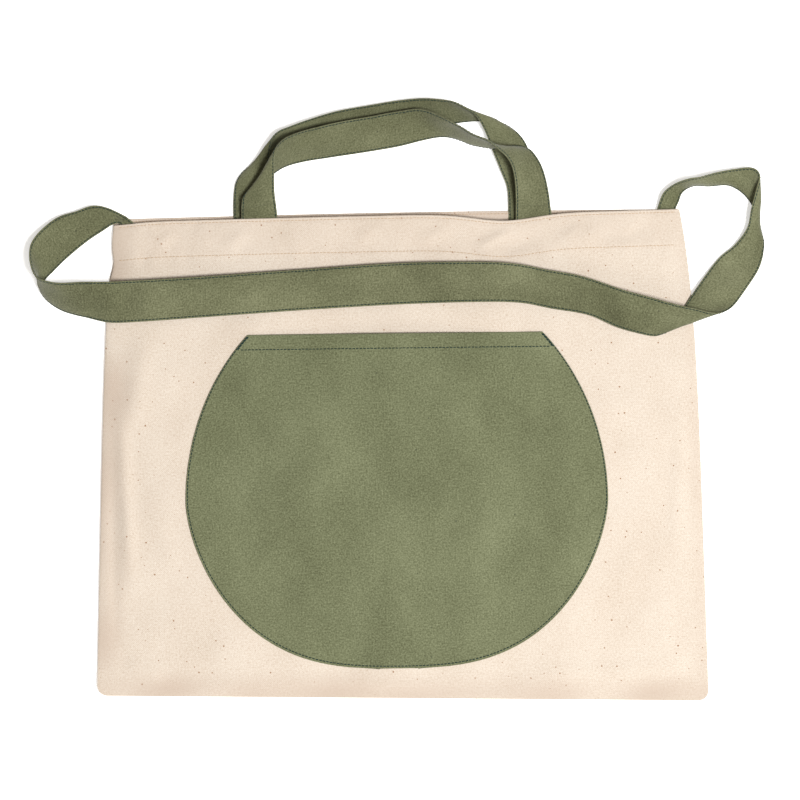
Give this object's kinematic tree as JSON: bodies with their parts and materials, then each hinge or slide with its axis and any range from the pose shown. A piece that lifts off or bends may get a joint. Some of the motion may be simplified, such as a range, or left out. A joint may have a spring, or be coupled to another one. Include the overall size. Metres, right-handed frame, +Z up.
{
  "type": "fruit picking bag",
  "caption": "Flat canvas tote for picking fruit, with a round front pocket, two short carrying handles and a long shoulder strap, lying flat on its back.",
  "frame": {"origin": "centre of the back panel's underside, on the surface that the bag lies on", "axes": "+X across the bag to the right, +Y from the bottom seam to the mouth, +Z up, out of the front panel"},
  "size_m": [0.6132, 0.5032, 0.0341],
  "materials": {
    "natural_canvas": "unbleached plain-weave cotton canvas with seed specks",
    "pocket_cloth": "olive green cotton canvas, slightly heathered",
    "strap_cloth": "olive green cotton canvas, folded and edge-stitched",
    "green_thread": "dark green sewing thread",
    "canvas_thread": "cream and tan sewing thread"
  },
  "bodies": {
    "bag": {"back_panel": "natural_canvas", "front_panel": "natural_canvas", "pocket": "pocket_cloth", "left_side_seam": "natural_canvas", "right_side_seam": "natural_canvas", "bottom_seam": "natural_canvas", "front_hem_upper_thread": "canvas_thread", "front_hem_lower_thread": "canvas_thread", "back_hem_upper_thread": "canvas_thread", "back_hem_lower_thread": "canvas_thread", "pocket_edge_thread": "green_thread", "pocket_hem_thread": "green_thread", "pocket_left_tack": "green_thread", "pocket_right_tack": "green_thread", "front_handle_left_end": "strap_cloth", "front_handle_right_end": "strap_cloth", "back_handle_left_end": "strap_cloth", "back_handle_right_end": "strap_cloth", "strap_left_end": "strap_cloth", "strap_right_end": "strap_cloth", "strap_right_loop": "strap_cloth"},
    "front_handle_base": {"front_handle_left_foot": "strap_cloth", "front_handle_right_foot": "strap_cloth"},
    "front_handle": {"front_handle": "strap_cloth", "front_handle_thread": "green_thread"},
    "back_handle": {"back_handle": "strap_cloth", "back_handle_thread": "green_thread"},
    "shoulder_strap": {"shoulder_strap": "strap_cloth", "shoulder_strap_thread": "green_thread"}
  },
  "joints": [
    {"name": "back_handle_lift", "type": "hinge", "parent": "bag", "child": "back_handle", "pos_m": [0, 0.205, 0.002], "axis": [1, 0, 0], "range_deg": [0, 80]},
    {"name": "front_handle_lift", "type": "hinge", "parent": "bag", "child": "front_handle_base", "pos_m": [0, 0.204, 0.008], "axis": [1, 0, 0], "range_deg": [0, 92]},
    {"name": "front_handle_fold", "type": "hinge", "parent": "front_handle_base", "child": "front_handle", "pos_m": [0, 0.217, 0.0115], "axis": [1, 0, 0], "range_deg": [0, 35]},
    {"name": "shoulder_strap_swing", "type": "hinge", "parent": "bag", "child": "shoulder_strap", "pos_m": [0, 0.2, 0.006], "axis": [-1, 0, 0], "range_deg": [0, 110]}
  ],
  "couplings": [
    {"joint": "front_handle_lift", "follows": "back_handle_lift", "ratio": 1.15}
  ]
}
